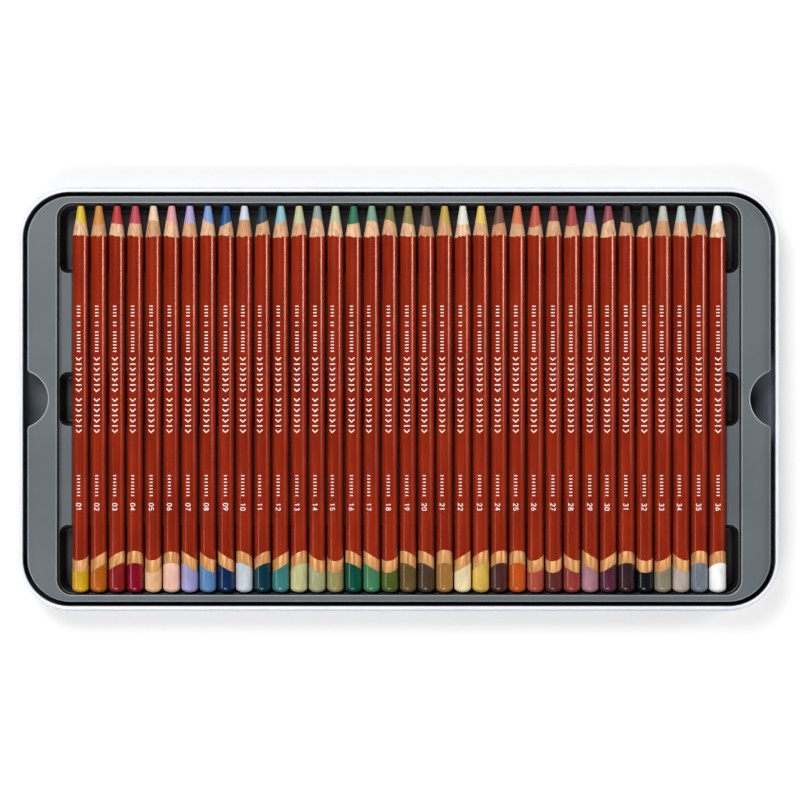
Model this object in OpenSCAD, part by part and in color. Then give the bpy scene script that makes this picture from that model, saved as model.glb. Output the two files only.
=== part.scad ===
// Flat tin of round coloured pencils: a drawn steel base with a rolled rim, standing in its
// own upturned lid, a thermoformed tray with finger wells, and one row of pencils.
// Millimetres. +X runs along the row, +Y towards the sharpened tips, +Z up.
// The origin is the middle of the face that the tin stands on.

/* [Pencils] */
// Number of pencils in the row
pencil_count = 36; // [12:1:56]
// Overall length of a pencil, tip to dipped end
pencil_len = 176; // [150:1:185]
// Diameter of the lacquered barrel
barrel_d = 7.4; // [6.8:0.05:8]
// Thickness of the colour coat on the dipped end
dip_coat = 0.2; // [0.1:0.05:0.3]
// Length of the dipped end
dip_len = 12; // [8:0.5:18]
// Height of the dome on the dipped end
end_dome = 2.3; // [1.5:0.1:3]
// Free space between neighbouring dipped ends
pencil_gap = 0.48; // [0.35:0.01:1.5]

/* [Pencil cores] */
// Diameter of the colour core
core_d = 4.9; // [4:0.1:5.4]
// Glue line between the core and the wood
glue_gap = 0.05; // [0.02:0.01:0.08]
// Length of the sharpened cone
cone_len = 14; // [11:0.5:18]
// Diameter of the blunt tip
tip_d = 2.9; // [2:0.1:3.6]
// Height of the worn dome on the tip
tip_dome = 0.5; // [0.3:0.05:0.9]
// Wood and paint left between the core and the dipped end
core_cover = 1.3; // [1:0.1:3]

/* [Tray] */
// Thickness of the plastic sheet
tray_sheet = 0.6; // [0.4:0.05:0.8]
// Clear height under the barrels for a fingertip
finger_room = 7; // [5:0.5:10]
// Space between a barrel and its groove
groove_clear = 0.3; // [0.2:0.05:0.5]
// Height of the pencil axes above the rest platforms
ledge_drop = 1.2; // [0.8:0.1:2]
// Length of each rest platform along the pencils
rest_len = 45.3; // [38:0.1:50]
// Length of the middle finger well along the pencils
mid_well_len = 24.4; // [20:0.1:34]
// Corner radius of the wells where they meet a platform
well_r = 4; // [3.5:0.1:6]
// Step between the pocket wall and the outer edges of the wells
well_step = 0.4; // [0.2:0.05:1]
// Draft of the well walls, in degrees
well_draft = 9; // [5:1:11]
// Radius between the well walls and their floor
floor_round = 1.5; // [1:0.1:2.2]

/* [Tray flange] */
// Height of the flange above the pencil axes
flange_rise = 3; // [2:0.1:6]
// Width of the flange at the two ends of the row
flange_end_w = 13.45; // [12:0.05:20]
// Width of the flange along the long sides
flange_side_w = 3.25; // [2.6:0.05:6]
// Space between the outer pencils and the pocket wall
row_gap = 6.55; // [5:0.05:12]
// Space between the pencil ends and the pocket wall
end_gap = 0.9; // [0.8:0.05:3]
// Corner radius of the pocket
pocket_r = 7; // [6:0.25:12]
// Draft of the pocket wall, in degrees
pocket_draft = 3; // [1:0.5:6]
// Bevel on the mouth of the pocket
mouth_bevel = 0.5; // [0.2:0.05:0.6]
// Depth of the turned-down edge of the flange
flange_skirt = 4; // [2:0.25:7]

/* [Thumb notches] */
// Radius of a notch
notch_r = 13; // [11:0.25:15]
// Depth of a notch, from the edge of the flange
notch_depth = 9.3; // [7:0.1:10.5]
// Radius where a notch runs out into the edge
notch_round = 2; // [1:0.25:3]

/* [Tin base] */
// Thickness of the steel
base_sheet = 0.35; // [0.25:0.01:0.5]
// Corner radius of the tin, outside
corner_r = 23; // [18:0.5:30]
// Diameter of the rolled rim
rim_d = 2; // [1.6:0.1:2.6]
// Angle of the rim's roll that is left open, in degrees
rim_open = 60; // [30:5:90]
// Height of the rim above the flange
rim_rise = 3.35; // [2.5:0.05:8]
// Radius between the walls and the floor, outside
base_round = 2.5; // [1.5:0.1:3]
// Space between the flange and the rim
tray_gap = 1.4; // [0.8:0.05:3]

/* [Lid] */
// Thickness of the steel
lid_sheet = 0.35; // [0.25:0.01:0.5]
// Height of the lid, panel and skirt together
lid_h = 12; // [8:0.25:14]
// Space between the lid's skirt and the base
lid_clear = 0.3; // [0.2:0.05:0.6]
// Height of the folded hem on the skirt's edge
hem_h = 2.5; // [1.5:0.25:4]
// Radius between the panel and the skirt, outside
lid_round = 2.5; // [1.5:0.1:3]

/* [Hidden] */
$fn = 96;
// Overshoot of a cutting shape past the face that it cuts
over = 1;
// Lap of two round cuts that would only touch otherwise
lap = 0.005;
// Flat steps in each of the wells' floor fillets
fillet_steps = 2;
// Each outer well is cut in two stretches, one with its inner corners and one with its outer
// corners. These are their shares of its length, and together they are more than 1.
inner_share = 0.72;
outer_share = 0.8;

barrel_r = barrel_d / 2;
dip_r = barrel_r + dip_coat;
core_r = core_d / 2;
bore_r = core_r + glue_gap;
tip_r = tip_d / 2;
groove_r = barrel_r + groove_clear;
pencil_pitch = 2 * dip_r + pencil_gap;
row_half = (pencil_count - 1) / 2 * pencil_pitch;

// Heights, from the table up
base_z = lid_sheet;
tray_z = base_z + base_sheet;
well_z = tray_z + tray_sheet;
axis_z = well_z + finger_room + barrel_r;
ledge_z = axis_z - ledge_drop;
flange_z = axis_z + flange_rise;
rim_z = flange_z + rim_rise;

// Half sizes in X and Y, from the pencils outwards
pocket_half = [row_half + dip_r + row_gap, pencil_len / 2 + end_gap];
flange_half = pocket_half + [flange_end_w, flange_side_w];
base_half = flange_half + [1, 1] * (tray_gap + rim_d);
lid_half = base_half + [1, 1] * (lid_clear + lid_sheet);
flange_r = corner_r - rim_d - tray_gap;
lid_r = corner_r + lid_clear + lid_sheet;

// The pocket wall leans in by this much between its mouth and the platforms
pocket_lean = (flange_z - mouth_bevel - ledge_z) * tan(pocket_draft);
ledge_half = pocket_half - [1, 1] * pocket_lean;
ledge_r = pocket_r - pocket_lean;
well_half = ledge_half - [1, 1] * well_step;
rest_y = mid_well_len / 2;
outer_well_y = rest_y + rest_len;
// Width in plan of the sheet in a drafted wall
wall_w = tray_sheet / cos(well_draft);

function pencil_name(i) = str("pencil_", i < 10 ? "0" : "", i);
function pencil_x(i) = (i - 1) * pencil_pitch - row_half;
// Radius of the circle whose cap is h high on a base of radius r
function cap_r(r, h) = (r * r + h * h) / (2 * h);
// Height along the pencil at which the sharpened cone has the radius r
function cone_at(r) = pencil_len - cone_len * (r - tip_r) / (barrel_r - tip_r);

// Carries a profile round a rounded rectangle of the half sizes half and the corner radius r.
// The profile's x is the distance outwards from the centre of a corner.
module around(half, r) {
    straight = half - [r, r];
    for (side = [0, 1]) {
        mirror([side, 0, 0]) translate([straight.x, 0, 0]) rotate([90, 0, 0])
            linear_extrude(height = 2 * straight.y, center = true) children();
        mirror([0, side, 0]) translate([0, straight.y, 0]) rotate([90, 0, 90])
            linear_extrude(height = 2 * straight.x, center = true) children();
    }
    for (quarter = [[1, 1, 0], [-1, 1, 90], [-1, -1, 180], [1, -1, 270]])
        translate([quarter.x * straight.x, quarter.y * straight.y, 0])
            rotate([0, 0, quarter.z]) rotate_extrude(angle = 90) children();
}

module rounded_rect(half, r) {
    square([2 * half.x, 2 * (half.y - r)], center = true);
    square([2 * (half.x - r), 2 * half.y], center = true);
    for (sx = [-1, 1])
        for (sy = [-1, 1]) translate([sx * (half.x - r), sy * (half.y - r)]) circle(r);
}

// Wall of a drawn pan, from the edge of its flat floor to the height top.
// The profile's x runs from a corner's centre, so the outer face of the wall is at x = r.
module pan_wall(r, top, sheet, round) {
    translate([r - round, round]) intersection() {
        difference() {
            circle(round);
            circle(round - sheet);
        }
        translate([0, -round]) square(round);
    }
    translate([r - sheet, round]) square([sheet, top - round]);
}

module pan_floor(half, r, sheet, round) {
    linear_extrude(sheet) rounded_rect(half - [round, round], r - round);
}

// Solid of a pocket with rounded corners whose outline shrinks by inset at each height.
// levels lists [height, inset] from the top down.
module tapered_block(half, r, levels) {
    top = levels[0][0];
    bottom = levels[len(levels) - 1][0];
    side = [for (level = levels) [r - level[1], level[0]]];
    around(half, r) polygon(concat([[0, top]], side, [[0, bottom]]));
    translate([r - half.x, r - half.y, bottom])
        cube([2 * (half.x - r), 2 * (half.y - r), top - bottom]);
}

// Levels of a well: a drafted wall that runs through a fillet into the floor.
// grow is the sheet's thickness for the outside of the well, and 0 for its inside.
function well_levels(grow) =
    let (
        floor_z = well_z - grow,
        fillet = floor_round + grow,
        wall_end = floor_z + fillet * (1 - sin(well_draft)),
        centre = (ledge_z - wall_end) * tan(well_draft) + fillet * cos(well_draft)
    )
    concat(
        grow > 0 ? [] : [[ledge_z + over, 0]],
        [[ledge_z, 0]],
        [for (k = [0:fillet_steps])
            let (turn = well_draft + (90 - well_draft) * k / fillet_steps)
            [floor_z + fillet * (1 - sin(turn)), centre - fillet * cos(turn)]]
    );

// One rounded stretch of a well between the places y0 and y1 along the pencils
module well_stretch(y0, y1, r, grow) {
    side = grow > 0 ? wall_w : 0;
    translate([0, (y0 + y1) / 2, 0])
        tapered_block([well_half.x + side, (y1 - y0) / 2 + side], r + side, well_levels(grow));
}

// Finger wells: the outer two have the pocket's corners outside and tighter ones inside
module wells(grow) {
    outer_len = well_half.y - outer_well_y;
    well_stretch(-rest_y, rest_y, well_r, grow);
    for (side = [0, 1])
        mirror([0, side, 0]) {
            well_stretch(outer_well_y, outer_well_y + inner_share * outer_len, well_r, grow);
            well_stretch(well_half.y - outer_share * outer_len, well_half.y, ledge_r - well_step, grow);
        }
}

// Outline of the flange, set in by inset all round, with its two thumb notches
module flange_outline(inset) {
    edge = flange_half.x - inset;
    bite = notch_r + inset;
    round = notch_round - inset;
    notch_x = flange_half.x - notch_depth + notch_r;
    round_y = sqrt(pow(bite + round - lap, 2) - pow(notch_x - edge + round, 2));
    difference() {
        rounded_rect(flange_half - [inset, inset], flange_r - inset);
        for (side = [0, 1])
            mirror([side, 0]) {
                translate([notch_x, 0]) circle(bite);
                for (up = [0, 1])
                    mirror([0, up]) difference() {
                        polygon([[edge - round, round_y], [notch_x, round_y], [notch_x, 0]]);
                        translate([edge - round, round_y]) circle(round);
                    }
            }
    }
}

// Cross-section of the row's grooves, at the radius r round each pencil axis
module groove_profile(r) {
    for (i = [1:pencil_count]) translate([pencil_x(i), axis_z]) circle(r);
}

module along_y(y0, y1) {
    translate([0, y1, 0]) rotate([90, 0, 0]) linear_extrude(y1 - y0) children();
}

module tray() {
    groove_end = (outer_well_y + well_half.y) / 2;
    color("slategray") difference() {
        union() {
            translate([0, 0, flange_z - tray_sheet]) linear_extrude(tray_sheet) flange_outline(0);
            translate([0, 0, flange_z - flange_skirt]) linear_extrude(flange_skirt)
                difference() {
                    flange_outline(0);
                    flange_outline(tray_sheet);
                }
            tapered_block(pocket_half + [wall_w, wall_w], pocket_r + wall_w, [
                [flange_z, 0],
                [ledge_z - tray_sheet, pocket_lean]
            ]);
            wells(tray_sheet);
            for (side = [0, 1])
                mirror([0, side, 0]) along_y(rest_y, outer_well_y) intersection() {
                    groove_profile(groove_r + tray_sheet);
                    translate([-ledge_half.x, 0]) square([2 * ledge_half.x, ledge_z]);
                }
        }
        tapered_block(pocket_half, pocket_r, [
            [flange_z + over, -mouth_bevel - over],
            [flange_z - mouth_bevel, 0],
            [ledge_z, pocket_lean]
        ]);
        wells(0);
        along_y(-groove_end, groove_end) groove_profile(groove_r);
    }
}

module tin_base() {
    rim_r = rim_d / 2;
    color("gainsboro") translate([0, 0, base_z]) {
        pan_floor(base_half, corner_r, base_sheet, base_round);
        around(base_half, corner_r) {
            pan_wall(corner_r, rim_z - base_z - rim_r, base_sheet, base_round);
            translate([corner_r - rim_r, rim_z - base_z - rim_r]) difference() {
                circle(rim_r);
                circle(rim_r - base_sheet);
                rotate(-rim_open)
                    polygon([[0, 0], [rim_d, 0], rim_d * [cos(rim_open / 2), sin(rim_open / 2)]]);
            }
        }
    }
}

module lid() {
    color("silver") {
        pan_floor(lid_half, lid_r, lid_sheet, lid_round);
        around(lid_half, lid_r) {
            pan_wall(lid_r, lid_h, lid_sheet, lid_round);
            translate([lid_r, lid_h - hem_h]) square([lid_sheet, hem_h]);
        }
    }
}

// Half section of a domed end: a cap of height h on a base of radius r, standing on y = 0
module cap_profile(r, h) {
    intersection() {
        translate([0, h - cap_r(r, h)]) circle(cap_r(r, h));
        square([r, h]);
    }
}

module casing() {
    color("firebrick") rotate_extrude() difference() {
        union() {
            translate([0, end_dome]) mirror([0, 1]) cap_profile(dip_r, end_dome);
            translate([0, end_dome]) square([dip_r, dip_len - end_dome]);
            translate([0, dip_len]) square([barrel_r, pencil_len - cone_len - dip_len]);
            polygon([
                [0, pencil_len - cone_len],
                [barrel_r, pencil_len - cone_len],
                [bore_r, cone_at(bore_r)],
                [0, cone_at(bore_r)]
            ]);
        }
        translate([0, core_cover]) square([bore_r, pencil_len]);
    }
}

module core() {
    tip_base = pencil_len - tip_dome;
    end_base = core_cover + glue_gap;
    color("gold") rotate_extrude() {
        translate([0, end_base]) square([core_r, cone_at(core_r) - end_base]);
        polygon([[0, cone_at(core_r)], [core_r, cone_at(core_r)], [tip_r, tip_base], [0, tip_base]]);
        translate([0, tip_base]) cap_profile(tip_r, tip_dome);
    }
}

module pencil(i) {
    translate([pencil_x(i), -pencil_len / 2, axis_z]) rotate([-90, 0, 0]) {
        casing();
        core();
    }
}

lid();
tin_base();
tray();
for (i = [1:pencil_count])
    pencil(i);
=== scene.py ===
"""Looks of a flat tin of round coloured pencils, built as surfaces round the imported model.

Lengths in the classes are millimetres, and every mesh is made in metres at its own place.
+X runs along the row of pencils, +Y towards the sharpened tips and +Z up.
"""
import logging
import math
from dataclasses import dataclass, field
from enum import Enum, IntEnum

import bmesh
import bpy
import numpy as np
from mathutils import Matrix, Vector


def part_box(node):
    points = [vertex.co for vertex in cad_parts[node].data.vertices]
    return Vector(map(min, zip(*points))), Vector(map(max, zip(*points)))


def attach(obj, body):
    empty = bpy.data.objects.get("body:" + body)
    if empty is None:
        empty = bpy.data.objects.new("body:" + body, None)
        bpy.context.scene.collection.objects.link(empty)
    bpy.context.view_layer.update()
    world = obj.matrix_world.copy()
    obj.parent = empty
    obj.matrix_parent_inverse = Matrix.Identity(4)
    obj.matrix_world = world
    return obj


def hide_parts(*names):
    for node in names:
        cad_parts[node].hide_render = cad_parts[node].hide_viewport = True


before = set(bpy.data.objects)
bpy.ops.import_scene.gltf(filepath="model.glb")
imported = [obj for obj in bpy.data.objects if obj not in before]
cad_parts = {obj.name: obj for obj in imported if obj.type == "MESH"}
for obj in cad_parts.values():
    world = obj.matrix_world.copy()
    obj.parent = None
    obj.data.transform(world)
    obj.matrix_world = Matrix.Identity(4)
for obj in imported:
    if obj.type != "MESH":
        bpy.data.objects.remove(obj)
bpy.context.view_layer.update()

MM = 0.001
# Points nearer to each other than this, in metres, become one
WELD = 1e-6
# Edges of sheet pieces that turn by more than this many degrees stay sharp
CREASE = 40
SEED = 36
log = logging.getLogger("pencil_tin")

Rgb = tuple[int, int, int]
Point = tuple[float, float]
Place = tuple[float, float, float]
Socket = bpy.types.NodeSocket
# Distances in from an outline, and the heights that go with them
Wall = tuple[np.ndarray, np.ndarray]


def linear(colour: Rgb) -> tuple[float, float, float, float]:
    """Linear RGBA of a colour written as it looks on a screen.

    Args:
        colour: Red, green and blue from 0 to 255.

    Returns:
        The colour as Blender's sockets take it: the sRGB curve, undone.
    """
    share = np.asarray(colour, float) / 255
    value = np.where(share <= 0.04045, share / 12.92, ((share + 0.055) / 1.055) ** 2.4)
    return (*value.tolist(), 1.0)


def arc(centre: Point, radius: float, start: float, end: float, count: int) -> np.ndarray:
    """Points of an arc: centre + radius * (cos t, sin t), with t in equal steps.

    Args:
        centre: Centre of the circle.
        radius: Its radius.
        start: First angle in degrees.
        end: Last angle in degrees.
        count: Number of points, both ends included.

    Returns:
        Points of the shape (count, 2).
    """
    turn = np.radians(np.linspace(start, end, count))
    return np.asarray(centre, float) + radius * np.stack([np.cos(turn), np.sin(turn)], axis=-1)


def node_box(node: str) -> tuple[np.ndarray, np.ndarray]:
    """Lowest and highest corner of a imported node, in millimetres."""
    low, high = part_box(node)
    return np.array(low) / MM, np.array(high) / MM


@dataclass(frozen=True)
class Outline:
    """A closed or open line in plan, with the direction that points out of its shape at each point.

    A copy set in by d is points - d * outward, which is exact on straights and on arcs.
    """

    points: np.ndarray
    outward: np.ndarray

    def at(self, inset: np.ndarray, height: np.ndarray) -> np.ndarray:
        """Grid of the points (points - inset * outward, height), one row for each inset.

        Args:
            inset: Distance inwards, one for each row, or for each row and point.
            height: Height above the table, in the same shape.

        Returns:
            Points of the shape (rows, points, 3).
        """
        rows = len(inset)
        count = len(self.points)
        inset = np.broadcast_to(np.reshape(inset, (rows, -1)), (rows, count))
        height = np.broadcast_to(np.reshape(height, (rows, -1)), (rows, count))
        plan = self.points[None] - inset[..., None] * self.outward[None]
        return np.concatenate([plan, height[..., None]], axis=-1)

    def join(self, *others: "Outline") -> "Outline":
        """This line followed by the others, where each starts at the end of the last.

        Args:
            others: The lines that follow.

        Returns:
            The whole line, with each shared point once.
        """
        parts = (self, *others)
        points = np.concatenate([p.points[:-1] for p in parts[:-1]] + [parts[-1].points])
        outward = np.concatenate([p.outward[:-1] for p in parts[:-1]] + [parts[-1].outward])
        return Outline(points, outward)

    def backwards(self) -> "Outline":
        """The same line walked from its end."""
        return Outline(self.points[::-1], self.outward[::-1])

    def mirrored(self, x: int, y: int) -> "Outline":
        """The line with its X and Y multiplied by 1 or -1."""
        return Outline(self.points * (x, y), self.outward * (x, y))

    def round_four(self) -> "Outline":
        """A closed loop from a quarter that runs from the +X axis to the +Y axis."""
        loop = self.join(
            self.mirrored(-1, 1).backwards(),
            self.mirrored(-1, -1),
            self.mirrored(1, -1).backwards(),
        )
        return Outline(loop.points[:-1], loop.outward[:-1])


def bend(
    centre: Point, radius: float, start: float, end: float, count: int, hollow: bool = False
) -> Outline:
    """An arc of an outline.

    Args:
        centre: Centre of the arc.
        radius: Its radius.
        start: First angle in degrees.
        end: Last angle in degrees.
        count: Number of points.
        hollow: True where the shape lies outside the circle, as at a notch.

    Returns:
        The arc, with outward pointing from the centre, or to it where hollow.
    """
    outward = arc((0, 0), 1, start, end, count) * (-1 if hollow else 1)
    return Outline(arc(centre, radius, start, end, count), outward)


def straight(start: Point, end: Point, outward: Point, count: int) -> Outline:
    """A straight stretch of an outline: start + t * (end - start).

    Args:
        start: First point.
        end: Last point.
        outward: Direction out of the shape.
        count: Number of points.

    Returns:
        The stretch.
    """
    points = np.linspace(start, end, count)
    return Outline(points, np.broadcast_to(np.asarray(outward, float), points.shape))


def rounded_quarter(half: np.ndarray, radius: float, corner: int, side: int, end: int) -> Outline:
    """First quarter of a rounded rectangle, from the +X axis round its corner to the +Y axis.

    Args:
        half: Half sizes in X and Y.
        radius: Corner radius.
        corner: Number of points on the corner.
        side: Number of points on the half side along X.
        end: Number of points on the half side along Y.

    Returns:
        The quarter.
    """
    x, y = half - radius
    return straight((half[0], 0), (half[0], y), (1, 0), end).join(
        bend((x, y), radius, 0, 90, corner),
        straight((x, half[1]), (0, half[1]), (0, 1), side),
    )


@dataclass
class Skin:
    """One piece's mesh, gathered from grids and flat fills whose points are in millimetres."""

    points: list[np.ndarray] = field(default_factory=list)
    faces: list[list[int]] = field(default_factory=list)
    finishes: list[int] = field(default_factory=list)
    count: int = 0

    def place(self, points: np.ndarray) -> np.ndarray:
        """Takes the points in and gives their numbers, in the same layout.

        Args:
            points: Points in millimetres, in a layout of any shape.

        Returns:
            The number of each point.
        """
        numbers = self.count + np.arange(points[..., 0].size).reshape(points.shape[:-1])
        self.points.append(points.reshape(-1, 3))
        self.count += numbers.size
        return numbers

    def grid(self, points: np.ndarray, finish: int | np.ndarray = 0, closed: bool = False) -> None:
        """Adds the four-sided faces between the rows and columns of a grid.

        Args:
            points: Grid of the shape (rows, columns, 3).
            finish: Number of the finish, or one for each band between two rows.
            closed: True where the last column meets the first.
        """
        numbers = self.place(points)
        if closed:
            numbers = np.concatenate([numbers, numbers[:, :1]], axis=1)
        low, high = numbers[:-1], numbers[1:]
        faces = np.stack([low[:, :-1], low[:, 1:], high[:, 1:], high[:, :-1]], axis=-1)
        bands = np.broadcast_to(np.reshape(finish, (-1, 1)), faces.shape[:2])
        self.faces += faces.reshape(-1, 4).tolist()
        self.finishes += bands.reshape(-1).tolist()

    def fill(self, ring: np.ndarray, finish: int = 0) -> None:
        """Adds one flat face whose edge is the ring of points."""
        self.faces.append(self.place(ring).tolist())
        self.finishes.append(finish)

    def build(self, name: str, finishes: list[bpy.types.Material], crease: float) -> bpy.types.Object:
        """Makes the object: points that meet are merged, and faces turned outwards.

        Args:
            name: Name of the piece.
            finishes: Its materials, in the order of the finish numbers.
            crease: Edges that turn by more than this angle in degrees stay sharp.

        Returns:
            The object, at the origin.
        """
        mesh = bpy.data.meshes.new(name)
        mesh.from_pydata(np.concatenate(self.points) * MM, [], self.faces)
        mesh.polygons.foreach_set("material_index", np.array(self.finishes, np.int32))
        work = bmesh.new()
        work.from_mesh(mesh)
        bmesh.ops.remove_doubles(work, verts=work.verts, dist=WELD)
        bmesh.ops.recalc_face_normals(work, faces=work.faces)
        open_edges = sum(1 for edge in work.edges if len(edge.link_faces) != 2)
        work.to_mesh(mesh)
        work.free()
        for finish in finishes:
            mesh.materials.append(finish)
        mesh.polygons.foreach_set("use_smooth", np.ones(len(mesh.polygons), bool))
        mesh.set_sharp_from_angle(angle=math.radians(crease))
        piece = bpy.data.objects.new(name, mesh)
        bpy.context.scene.collection.objects.link(piece)
        log.info("%s: %d faces, %d open edges", name, len(mesh.polygons), open_edges)
        return piece


def even_normals(piece: bpy.types.Object) -> None:
    """Lets large flat faces set the normals of the narrow fillets round them."""
    modifier = piece.modifiers.new("even_normals", "WEIGHTED_NORMAL")
    modifier.keep_sharp = True


def seat(piece: bpy.types.Object, body: str, slot: str, *nodes: str) -> None:
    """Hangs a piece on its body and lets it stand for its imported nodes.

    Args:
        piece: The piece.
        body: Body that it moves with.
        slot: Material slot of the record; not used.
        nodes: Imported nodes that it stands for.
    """
    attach(piece, body)
    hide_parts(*nodes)


class Slot(str, Enum):
    """The record's material slots."""

    TINPLATE = "tinplate"
    PLASTIC = "tray_plastic"
    LACQUER = "pencil_lacquer"


class Face(Enum):
    """The two sides of the tray's sheet."""

    TOP = "top"
    UNDER = "under"


class Sheet(IntEnum):
    """Order of the tray's finishes: its own grey as rolled, a painted highlight on the bend at the pocket's
    mouth, painted shade on the well floors, darker painted shade on the walls and rests, and a painted
    highlight on the flange's outer lip.
    """

    FLAT = 0
    BENT = 1
    DRAWN = 2
    DEEP = 3
    EDGE = 4


class Steel(IntEnum):
    """Order of the steel's finishes."""

    OUTSIDE = 0
    INSIDE = 1


# The same size of pattern along every axis
EVEN = (1.0, 1.0, 1.0)
# Spans of a noise's value: its middle, and most of its range
MIDDLE = (0.35, 0.65)
MOST = (0.3, 0.7)


def dimmed(colour: Rgb, share: float) -> Rgb:
    """The colour with each of its numbers times share."""
    return tuple(round(share * part) for part in colour)


class Recipe:
    """A material's node tree, with one short call for each kind of node."""

    def __init__(self, name: str) -> None:
        """Starts the tree with a shader that feeds the surface.

        Args:
            name: Name of the material.
        """
        self.material = bpy.data.materials.new(name)
        self.material.use_nodes = True
        self.nodes = self.material.node_tree.nodes
        self.nodes.clear()
        output = self.nodes.new("ShaderNodeOutputMaterial")
        self.shader = self.nodes.new("ShaderNodeBsdfPrincipled")
        self.link(self.shader.outputs["BSDF"], output.inputs["Surface"])

    def link(self, source: Socket, target: Socket) -> None:
        """Joins two sockets."""
        self.material.node_tree.links.new(source, target)

    def feed(self, target: Socket, value: object) -> None:
        """Joins a socket to the target, or sets the target to a plain value.

        Args:
            target: Socket that takes the value.
            value: Another socket, a number or a colour.
        """
        if isinstance(value, Socket):
            self.link(value, target)
        else:
            target.default_value = value

    def place(self, stretch: Place) -> Socket:
        """Object coordinates times stretch: a small number draws a pattern out along its axis.

        Args:
            stretch: Number for each axis.

        Returns:
            The coordinates.
        """
        coords = self.nodes.new("ShaderNodeTexCoord")
        mapping = self.nodes.new("ShaderNodeMapping")
        mapping.inputs["Scale"].default_value = stretch
        self.link(coords.outputs["Object"], mapping.inputs["Vector"])
        return mapping.outputs["Vector"]

    def noise(self, scale: float, detail: float = 2, rough: float = 0.5, stretch: Place = EVEN) -> Socket:
        """Soft noise from 0 to 1.

        Args:
            scale: Number of its waves in a metre.
            detail: Number of finer layers on it.
            rough: Strength of each layer beside the last.
            stretch: Number for each axis, small where the noise is drawn out.

        Returns:
            The noise.
        """
        node = self.nodes.new("ShaderNodeTexNoise")
        node.inputs["Scale"].default_value = scale
        node.inputs["Detail"].default_value = detail
        node.inputs["Roughness"].default_value = rough
        self.link(self.place(stretch), node.inputs["Vector"])
        return node.outputs["Fac"]

    def ramp(self, value: Socket, low: float, high: float, start: float = 0, end: float = 1) -> Socket:
        """Carries the stretch from low to high over to the one from start to end, and stops there.

        Args:
            value: Value that is carried over.
            low: Value that gives start.
            high: Value that gives end.
            start: First result.
            end: Last result.

        Returns:
            The result.
        """
        node = self.nodes.new("ShaderNodeMapRange")
        node.inputs["From Min"].default_value = low
        node.inputs["From Max"].default_value = high
        node.inputs["To Min"].default_value = start
        node.inputs["To Max"].default_value = end
        self.link(value, node.inputs["Value"])
        return node.outputs["Result"]

    def mix(self, share: object, first: object, second: object) -> Socket:
        """Blends two colours.

        Args:
            share: 0 for the first colour and 1 for the second.
            first: A colour or a socket.
            second: Another one.

        Returns:
            The blend.
        """
        node = self.nodes.new("ShaderNodeMix")
        node.data_type = "RGBA"
        self.feed(node.inputs["Factor"], share)
        self.feed(node.inputs[6], first)
        self.feed(node.inputs[7], second)
        return node.outputs[2]

    def blend(self, value: Socket, span: Point, first: Rgb, second: Rgb, most: float = 1) -> Socket:
        """Blends from first to second, by the share most at the end, as the value crosses the span."""
        return self.mix(self.ramp(value, *span, 0, most), linear(first), linear(second))

    def maths(self, kind: str, first: object, second: object = 0.0) -> Socket:
        """One sum on two numbers.

        Args:
            kind: Name of the sum, such as ADD or MULTIPLY.
            first: A number or a socket.
            second: Another one.

        Returns:
            The result.
        """
        node = self.nodes.new("ShaderNodeMath")
        node.operation = kind
        self.feed(node.inputs[0], first)
        self.feed(node.inputs[1], second)
        return node.outputs["Value"]

    def bump(self, height: Socket, depth: float) -> None:
        """Presses a relief into the surface.

        Args:
            height: The relief.
            depth: Height in millimetres of a step of 1 in the relief.
        """
        node = self.nodes.new("ShaderNodeBump")
        node.inputs["Strength"].default_value = 1.0
        node.inputs["Distance"].default_value = depth * MM
        self.link(height, node.inputs["Height"])
        self.link(node.outputs["Normal"], self.shader.inputs["Normal"])

    def set(self, **values: object) -> None:
        """Feeds the shader's sockets, whose names have _ for a space."""
        for name, value in values.items():
            self.feed(self.shader.inputs[name.replace("_", " ")], value)


@dataclass(frozen=True)
class BarrelLacquer:
    """Glossy red-brown lacquer in several coats, with a faint ripple along the wood under it."""

    name: str = "barrel_lacquer"
    colour: Rgb = (141, 34, 6)
    deep: Rgb = (125, 26, 4)
    sheen: Rgb = (255, 200, 180)
    gloss: float = 0.21
    dust: float = 0.12

    def make(self) -> bpy.types.Material:
        """Clouds of two reds, a ripple drawn out along Y, and dust caught in the coat.

        Returns:
            The material.
        """
        recipe = Recipe(self.name)
        cloud = recipe.noise(scale=160, stretch=(1, 0.25, 1))
        ripple = recipe.noise(scale=420, detail=3, rough=0.6, stretch=(1, 0.12, 1))
        dust = recipe.noise(scale=2600, detail=1)
        recipe.set(
            Base_Color=recipe.blend(cloud, MIDDLE, self.colour, self.deep),
            Roughness=recipe.ramp(ripple, *MOST, self.gloss - 0.03, self.gloss + 0.05),
            Specular_IOR_Level=0.95,
            Specular_Tint=linear(self.sheen),
        )
        recipe.bump(recipe.maths("ADD", ripple, recipe.maths("MULTIPLY", dust, self.dust)), depth=0.002)
        return recipe.material


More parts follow.
